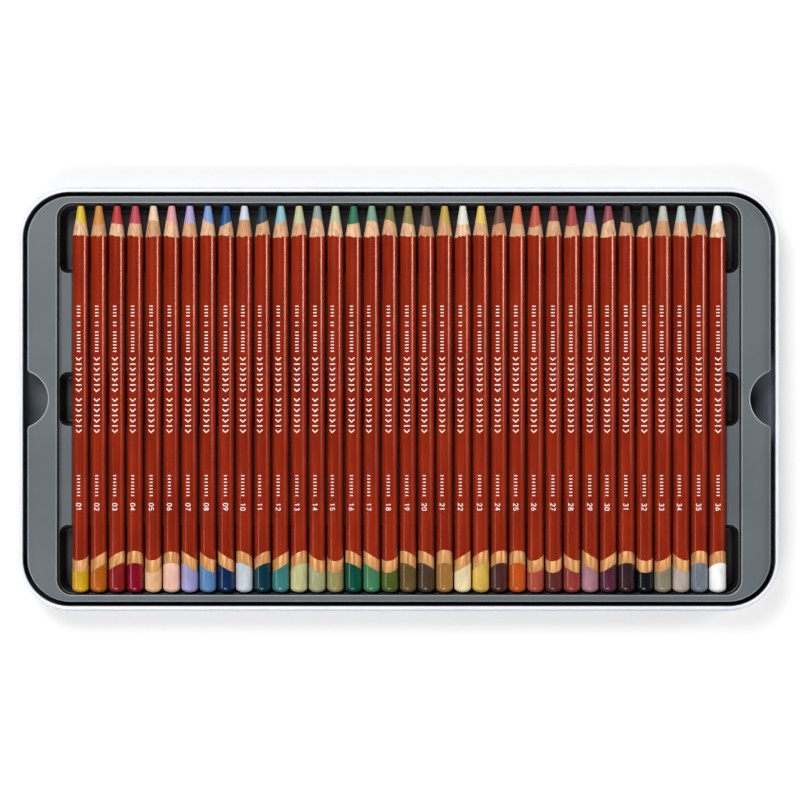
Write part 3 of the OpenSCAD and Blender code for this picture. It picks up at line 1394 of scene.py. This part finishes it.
# Strokes of each digit in a box 0.58 wide and 1 high
DIGITS: dict[str, list[np.ndarray]] = {
    "0": [
        np.concatenate(
            [arc((0.28, 0.72), 0.28, 0, 180, 9), arc((0.28, 0.28), 0.28, 180, 360, 9), [(0.56, 0.72)]]
        )
    ],
    "1": [pen_line((0.08, 0.78), (0.3, 1.0), (0.3, 0.0))],
    "2": [np.concatenate([arc((0.28, 0.72), 0.28, 165, -35, 10), [(0.0, 0.0), (0.56, 0.0)]])],
    "3": [np.concatenate([arc((0.27, 0.76), 0.24, 150, -80, 9), arc((0.27, 0.27), 0.27, 80, -150, 10)])],
    "4": [pen_line((0.42, 0.0), (0.42, 1.0), (0.0, 0.3), (0.58, 0.3))],
    "5": [np.concatenate([[(0.52, 1.0), (0.1, 1.0), (0.06, 0.56)], arc((0.27, 0.31), 0.3, 125, -150, 11)])],
    "6": [np.concatenate([[(0.44, 1.0)], arc((0.29, 0.28), 0.28, 150, 510, 18)])],
    "7": [pen_line((0.0, 1.0), (0.56, 1.0), (0.2, 0.0))],
    "8": [arc((0.28, 0.76), 0.23, -90, 270, 14), arc((0.28, 0.27), 0.27, 90, 450, 16)],
    "9": [np.concatenate([[(0.12, 0.0)], arc((0.27, 0.72), 0.28, -30, 330, 18)])],
}


@dataclass
class Stamp:
    """A foil stamping: strokes with a flat face, wrapped round the barrel.

    A stroke's points are (u, v): u runs along the barrel from its tip end towards its dipped end, and
    v round it towards +X. The stroke's section is a low rectangle of the width of the line.
    """

    line: float
    proud: float = 0.02
    sunk: float = 0.04
    step: float = 0.45
    least_cos: float = 0.1
    most_mitre: float = 1.6

    def band(self, stroke: np.ndarray) -> np.ndarray:
        """Ribbon round a stroke, as (u, v, height): points +- line / 2 across the stroke's direction.

        At a corner the ribbon widens by 1 / cos of half its turn, up to the greatest mitre.

        Args:
            stroke: Points of the stroke.

        Returns:
            Grid of the shape (points, 4, 3), whose columns go round the ribbon's section.
        """
        length = np.concatenate([[0], np.cumsum(np.linalg.norm(np.diff(stroke, axis=0), axis=1))])
        even = np.linspace(0, length[-1], 1 + math.ceil(length[-1] / self.step))
        spots = np.unique(np.concatenate([even, length]).round(5))
        path = np.stack([np.interp(spots, length, stroke[:, k]) for k in (0, 1)], axis=-1)
        along = np.diff(path, axis=0)
        along /= np.linalg.norm(along, axis=1, keepdims=True)
        before = np.concatenate([along[:1], along])
        after = np.concatenate([along, along[-1:]])
        if np.allclose(path[0], path[-1]):
            before[0], after[-1] = along[-1], along[0]
        middle = before + after
        middle /= np.linalg.norm(middle, axis=1, keepdims=True)
        across = np.stack([-middle[:, 1], middle[:, 0]], axis=-1)
        mitre = 1 / np.maximum((middle * after).sum(axis=1), self.least_cos)
        aside = across * np.clip(mitre, 1, self.most_mitre)[:, None] * self.line / 2
        left, right = path + aside, path - aside
        corners = [(left, -self.sunk), (left, self.proud), (right, self.proud), (right, -self.sunk)]
        return np.stack([np.concatenate([p, np.full((len(p), 1), h)], axis=-1) for p, h in corners], axis=1)


# A stroke and the width of its line
Stroke = tuple[np.ndarray, float]


@dataclass(frozen=True)
class BarRun:
    """A run of short bars across the barrel, evenly spaced, whose start is measured from the tip."""

    start: float
    count: int
    spacing: float = 1.46
    half: float = 0.8
    line: float = 0.46

    def strokes(self) -> list[Stroke]:
        """Each bar."""
        spots = self.start + self.spacing * np.arange(self.count)
        return [(pen_line((u, -self.half), (u, self.half)), self.line) for u in spots]


@dataclass(frozen=True)
class ChevronRun:
    """A run of chevrons with a bar between each two, whose start is measured from the tip."""

    start: float
    count: int = 7
    spacing: float = 2.36
    half: float = 1.35
    reach: float = 0.6
    line: float = 0.5

    def strokes(self) -> list[Stroke]:
        """Each chevron and bar.

        Returns:
            The strokes, from the tip on.
        """
        made = []
        for place in range(self.count):
            u = self.start + self.spacing * place
            bar = pen_line((u, -self.half), (u, self.half))
            back = u - self.reach
            chevron = pen_line((back, -self.half), (u + self.reach, 0), (back, self.half))
            made.append((bar if place % 2 else chevron, self.line))
        return made


@dataclass(frozen=True)
class NumberStamp:
    """The pencil's number in two digits, whose start is measured from the tip."""

    start: float = 135.4
    height: float = 2.1
    advance: float = 1.9
    foot: float = -1.05
    line: float = 0.36

    def strokes(self, number: int) -> list[Stroke]:
        """Each stroke of the two digits.

        Args:
            number: The pencil's number.

        Returns:
            The strokes.
        """
        made = []
        for place, digit in enumerate(f"{number:02d}"):
            corner = (self.start + self.advance * place, self.foot)
            made += [(stroke * self.height + corner, self.line) for stroke in DIGITS[digit]]
        return made


FOIL_RUNS = (
    BarRun(45.9, 4),
    BarRun(53.2, 2),
    BarRun(57.6, 7),
    ChevronRun(69.8),
    ChevronRun(88.4),
    BarRun(122.8, 7, spacing=1.5, half=0.7),
)


@dataclass
class Pencil:
    """A round pencil: dipped end, slanted gold band, lacquered barrel, cut wood and colour core.

    Every coat is one stretch of a surface of turning r(s, t): s runs along the pencil from its
    dipped end and t round it, and the coats' edges s(t) are slanted cuts or ragged lines. The rows
    that near_band and near_cut set beside the ends of the lacquer keep its shading even up to them.
    """

    number: int
    shade: Shade
    low: np.ndarray
    high: np.ndarray
    dome: float = 2.3
    barrel_r: float = 3.7
    dip_end: float = 11.4
    band_len: float = 5.4
    band_slant: float = 2.25
    band_drift: float = 0.15
    cone_len: float = 14.0
    tip_r: float = 1.45
    tip_dome: float = 0.5
    lead_end: float = 168.0
    film: float = 0.04
    paint_step: float = 0.02
    gold_film: float = 0.03
    gold_end: float = 0.05
    near_band: Place = (0.0, 0.06, 0.4)
    near_cut: Point = (0.6, 0.12)
    cut_slant: Point = (0.15, 0.8)
    tooth: Point = (0.03, 0.16)
    tooth_share: float = 0.9
    lead_drift: Point = (-0.7, 0.9)
    lead_slants: Place = (0.3, 0.6, 1.4)
    least_wood: float = 1.5
    tip_blunt: float = 0.6
    lying: Point = (-13, 4)
    waves: tuple[int, int] = (5, 24)
    wave_fade: int = 4
    columns: int = 96
    dome_rows: int = 10
    barrel_rows: int = 4
    cone_rows: int = 6
    tip_rows: int = 5
    crease: float = 50

    def __post_init__(self) -> None:
        """Works out the axis, and how the pencil lies turned: lying is its mean and spread in degrees."""
        self.axis_x = (self.low[0] + self.high[0]) / 2
        self.axis_z = (self.low[2] + self.high[2]) / 2
        self.length = self.high[1] - self.low[1]
        self.dip_r = (self.high[2] - self.low[2]) / 2
        self.random = np.random.default_rng(SEED * 100 + self.number)
        self.turn = np.linspace(0, 2 * math.pi, self.columns, endpoint=False)
        self.roll = math.radians(self.random.normal(*self.lying))

    def slanted(self, middle: float, reach: float, side: float) -> np.ndarray:
        """Edge of a slanted cut: middle + reach * cos(t - side), with side in degrees."""
        return middle + reach * np.cos(self.turn - math.radians(side))

    def ragged(self) -> np.ndarray:
        """Edge of the lacquer where the sharpener stopped: a slight slant with uneven teeth on it.

        The teeth are a sum of waves whose strength falls with their number.

        Returns:
            The edge, one place for each column.
        """
        waves = np.arange(*self.waves)
        fade = (self.waves[0] + self.wave_fade) / (waves + self.wave_fade)
        size = self.random.uniform(*self.tooth, len(waves)) * fade
        phase = self.random.uniform(0, 2 * math.pi, len(waves))
        teeth = (size[:, None] * np.cos(waves[:, None] * self.turn + phase[:, None])).sum(axis=0)
        slant = self.slanted(0, self.random.uniform(*self.cut_slant), self.random.uniform(0, 360))
        return self.length - self.cone_len + slant + self.tooth_share * teeth

    def coats(self) -> tuple[np.ndarray, np.ndarray, np.ndarray]:
        """Rows of the surface.

        Returns:
            Place along the pencil and radius, of the shape (rows, columns), and each band's coat.
        """
        dip_edge = self.slanted(self.dip_end, self.band_slant, self.shade.high_side)
        band_edge = dip_edge + self.band_len + self.random.normal(0, self.band_drift)
        cut = self.ragged()
        lead = self.slanted(
            self.lead_end + self.random.uniform(*self.lead_drift),
            self.random.choice(self.lead_slants),
            self.random.uniform(0, 360),
        )
        lead = np.maximum(lead, cut + self.least_wood)
        shoulder = self.length - self.tip_dome
        barrel = np.full(self.columns, self.barrel_r)
        rows: list[tuple[np.ndarray, np.ndarray, Coat]] = []

        def add(place: object, radius: object, coat: Coat) -> None:
            """Adds one row and the coat of the band that follows it."""
            rows.append((np.broadcast_to(place, self.columns), np.broadcast_to(radius, self.columns), coat))

        def cone(place: np.ndarray) -> np.ndarray:
            """Radius of the sharpened cone, a straight from the lacquer's edge to the tip."""
            return self.barrel_r + (self.tip_r - self.barrel_r) * (place - cut) / (shoulder - cut)

        for a in np.radians(np.linspace(0, 90, self.dome_rows)):
            add(self.dome * (1 - math.cos(a)), self.dip_r * math.sin(a), Coat.DIP)
        add(dip_edge - self.paint_step, self.dip_r, Coat.DIP)
        add(dip_edge, barrel + self.gold_film, Coat.GOLD)
        add(band_edge - self.gold_end, barrel + self.gold_film, Coat.GOLD)
        for past in self.near_band:
            add(band_edge + past, barrel, Coat.LACQUER)
        for share in np.linspace(0.05, 0.95, self.barrel_rows):
            add(band_edge + share * (cut - band_edge), barrel, Coat.LACQUER)
        for short in self.near_cut:
            add(cut - short, barrel, Coat.LACQUER)
        add(cut, barrel - self.film / 2, Coat.WOOD)
        for share in np.linspace(0.02, 1, self.cone_rows):
            place = cut + share * (lead - cut)
            add(place, cone(place) - self.film, Coat.WOOD)
        rows[-1] = (rows[-1][0], rows[-1][1], Coat.CORE)
        for share in np.linspace(0.03, 1, self.cone_rows):
            place = lead + share * (shoulder - lead)
            add(place, cone(place) - self.film * (1 - share), Coat.CORE)
        for a in np.radians(np.linspace(18, 90, self.tip_rows)):
            blunted = self.tip_r * math.cos(a) ** self.tip_blunt
            add(shoulder + self.tip_dome * math.sin(a), blunted, Coat.CORE)
        place = np.stack([row[0] for row in rows])
        radius = np.stack([row[1] for row in rows])
        return place, radius, np.array([int(row[2]) for row in rows[:-1]])

    def wrap(self, place: np.ndarray, turn: np.ndarray, radius: np.ndarray) -> np.ndarray:
        """Points in the row's frame: (axis + r sin t, end + s, axis + r cos t).

        Args:
            place: Distance along the pencil from its dipped end.
            turn: Angle round it from its top, towards +X.
            radius: Distance from its axis.

        Returns:
            The points.
        """
        x = self.axis_x + radius * np.sin(turn)
        z = self.axis_z + radius * np.cos(turn)
        return np.stack([x, self.low[1] + place, z], axis=-1)

    def strokes(self) -> list[Stroke]:
        """Strokes of the stampings: the runs of bars and chevrons, and the pencil's number."""
        runs = [stroke for foil in FOIL_RUNS for stroke in foil.strokes()]
        return runs + NumberStamp().strokes(self.number)

    def stamp(self, skin: Skin) -> None:
        """Adds the stampings to the mesh as closed ribbons on the barrel.

        Args:
            skin: Mesh that takes them.
        """
        for stroke, line in self.strokes():
            band = Stamp(line=line).band(stroke)
            place = self.length - band[..., 0]
            turn = self.roll + band[..., 1] / self.barrel_r
            points = self.wrap(place, turn, self.barrel_r + band[..., 2])
            skin.grid(points, Coat.FOIL.value, closed=True)
            if not np.allclose(points[0], points[-1]):
                skin.fill(points[0], Coat.FOIL.value)
                skin.fill(points[-1], Coat.FOIL.value)

    def build(self) -> Skin:
        """Surface of the pencil with its stampings.

        Returns:
            The surface.
        """
        skin = Skin()
        place, radius, coat = self.coats()
        skin.grid(self.wrap(place, self.turn[None], radius), coat, closed=True)
        self.stamp(skin)
        return skin

    def dress(self, shared: dict[Coat, bpy.types.Material]) -> bpy.types.Object:
        """Makes the piece, finishes it and seats it.

        Args:
            shared: The finishes that all pencils share.

        Returns:
            The piece.
        """
        own = {
            Coat.DIP: DipPaint(f"dip_{self.shade.name}", self.shade.dip).make(),
            Coat.CORE: ColourCore(f"core_{self.shade.name}", self.shade.core).make(),
        }
        materials = [{**shared, **own}[coat] for coat in Coat]
        piece = self.build().build(f"coloured_pencil_{self.number:02d}", materials, self.crease)
        node = f"pencil_{self.number:02d}"
        seat(piece, node, Slot.LACQUER.value, node)
        return piece


@dataclass(frozen=True)
class Softbox:
    """A flat lamp that looks at a point of the tin.

    The first of its two sizes lies along the axis that is named, as far as its aim allows.
    """

    name: str
    place: Place
    target: Place
    size: Point
    power: float
    axis: Place = (1.0, 0.0, 0.0)

    def make(self) -> bpy.types.Object:
        """Makes the lamp, with its back turned away from the point that it looks at.

        Returns:
            The lamp.
        """
        data = bpy.data.lights.new(self.name, "AREA")
        data.shape = "RECTANGLE"
        data.size, data.size_y = self.size
        data.energy = self.power
        lamp = bpy.data.objects.new(self.name, data)
        lamp.location = self.place
        back = (Vector(self.place) - Vector(self.target)).normalized()
        side = Vector(self.axis) - back * back.dot(Vector(self.axis))
        side.normalize()
        lamp.rotation_euler = Matrix((side, back.cross(side), back)).transposed().to_euler()
        bpy.context.scene.collection.objects.link(lamp)
        return lamp


@dataclass
class Studio:
    """White floor, dim surroundings, softboxes and the camera straight above the tin."""

    camera_place: Place = (0.00041, -0.00045, 1.150)
    lens: float = 112.5
    film_width: float = 36
    floor_size: float = 6.0
    floor_lit: float = 0.75
    floor_seen: float = 0.52
    floor_glow: float = 0.41
    haze: float = 0.04
    haze_colour: tuple[float, float, float, float] = (0.93, 0.96, 1.0, 1.0)
    lamps: tuple[Softbox, ...] = (
        Softbox("key", (-0.50, 0.85, 1.40), (0, 0, 0), (0.8, 0.7), 22.5),
        Softbox("fill", (-0.35, -1.0, 1.3), (0, 0, 0), (1.1, 0.6), 17),
        Softbox("right_strip", (1.0, 0.22, 0.58), (0, 0.08, 0), (0.30, 0.28), 4.6, (0, 1, 0)),
        Softbox("left_strip", (-0.95, -0.27, 0.58), (0, -0.07, 0), (0.30, 0.24), 1.0, (0, 1, 0)),
        Softbox("right_wall", (1.1, -0.25, 0.2), (0, -0.05, 0), (0.40, 0.2), 0.2, (0, 1, 0)),
    )

    def floor(self) -> None:
        """A pale floor that shows white to the camera and keeps the tin's shadow."""
        half = self.floor_size / 2
        corners = [(-half, -half, 0), (half, -half, 0), (half, half, 0), (-half, half, 0)]
        mesh = bpy.data.meshes.new("floor")
        mesh.from_pydata(corners, [], [(0, 1, 2, 3)])
        floor = bpy.data.objects.new("floor", mesh)
        bpy.context.scene.collection.objects.link(floor)
        recipe = Recipe("studio_floor")
        path = recipe.nodes.new("ShaderNodeLightPath")
        seen = recipe.maths("MAXIMUM", path.outputs["Is Camera Ray"], path.outputs["Is Glossy Ray"])
        recipe.set(
            Base_Color=recipe.mix(seen, (*[self.floor_lit] * 3, 1.0), (*[self.floor_seen] * 3, 1.0)),
            Roughness=0.9,
            Specular_IOR_Level=0.0,
            Emission_Color=(1.0, 1.0, 1.0, 1.0),
            Emission_Strength=recipe.maths("MULTIPLY", seen, self.floor_glow),
        )
        mesh.materials.append(recipe.material)

    def surroundings(self) -> None:
        """Dim studio round the tin, which is white to the camera."""
        world = bpy.data.worlds.new("studio")
        world.use_nodes = True
        nodes = world.node_tree.nodes
        links = world.node_tree.links
        nodes.clear()
        output = nodes.new("ShaderNodeOutputWorld")
        path = nodes.new("ShaderNodeLightPath")
        dim = nodes.new("ShaderNodeBackground")
        white = nodes.new("ShaderNodeBackground")
        mix = nodes.new("ShaderNodeMixShader")
        dim.inputs["Color"].default_value = self.haze_colour
        dim.inputs["Strength"].default_value = self.haze
        white.inputs["Color"].default_value = (1.0, 1.0, 1.0, 1.0)
        links.new(path.outputs["Is Camera Ray"], mix.inputs["Fac"])
        links.new(dim.outputs["Background"], mix.inputs[1])
        links.new(white.outputs["Background"], mix.inputs[2])
        links.new(mix.outputs["Shader"], output.inputs["Surface"])
        bpy.context.scene.world = world

    def camera(self) -> None:
        """Camera straight above the tin, with the tips at the top of the picture."""
        data = bpy.data.cameras.new("camera")
        data.lens = self.lens
        data.sensor_width = self.film_width
        camera = bpy.data.objects.new("camera", data)
        camera.location = self.camera_place
        bpy.context.scene.collection.objects.link(camera)
        bpy.context.scene.camera = camera

    def build(self) -> None:
        """Makes the floor, the surroundings, the lamps and the camera."""
        bpy.context.scene.view_settings.view_transform = "Standard"
        self.floor()
        self.surroundings()
        for lamp in self.lamps:
            lamp.make()
        self.camera()


def main() -> None:
    """Builds every piece in order."""
    logging.basicConfig(level=logging.INFO, format="%(message)s")
    Studio().build()
    names = sorted(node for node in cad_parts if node.startswith("pencil_"))
    boxes = [node_box(name) for name in names]
    pencil_x = np.array([(low[0] + high[0]) / 2 for low, high in boxes])
    axis_z = float((boxes[0][0][2] + boxes[0][1][2]) / 2)
    steel = [TinLacquer().make(), InsideCoat().make()]
    base_low, base_high = node_box("tin_base")
    TinBase(half=base_high[:2], bottom_z=base_low[2], rim_z=base_high[2]).dress(steel)
    lid_high = node_box("lid")[1]
    Lid(half=lid_high[:2], height=lid_high[2]).dress(steel)
    tray_low, tray_high = node_box("tray")
    Tray(
        half=tray_high[:2],
        flange_z=tray_high[2],
        bottom_z=tray_low[2],
        axis_z=axis_z,
        pencil_x=pencil_x,
    ).dress()
    shared = {
        Coat.GOLD: GoldBand().make(),
        Coat.LACQUER: BarrelLacquer().make(),
        Coat.WOOD: CutWood(pitch=float(pencil_x[1] - pencil_x[0])).make(),
        Coat.FOIL: StampedFoil().make(),
    }
    for number, ((low, high), shade) in enumerate(zip(boxes, SHADES), start=1):
        Pencil(number=number, shade=shade, low=low, high=high).dress(shared)


if __name__ == "__main__":
    main()
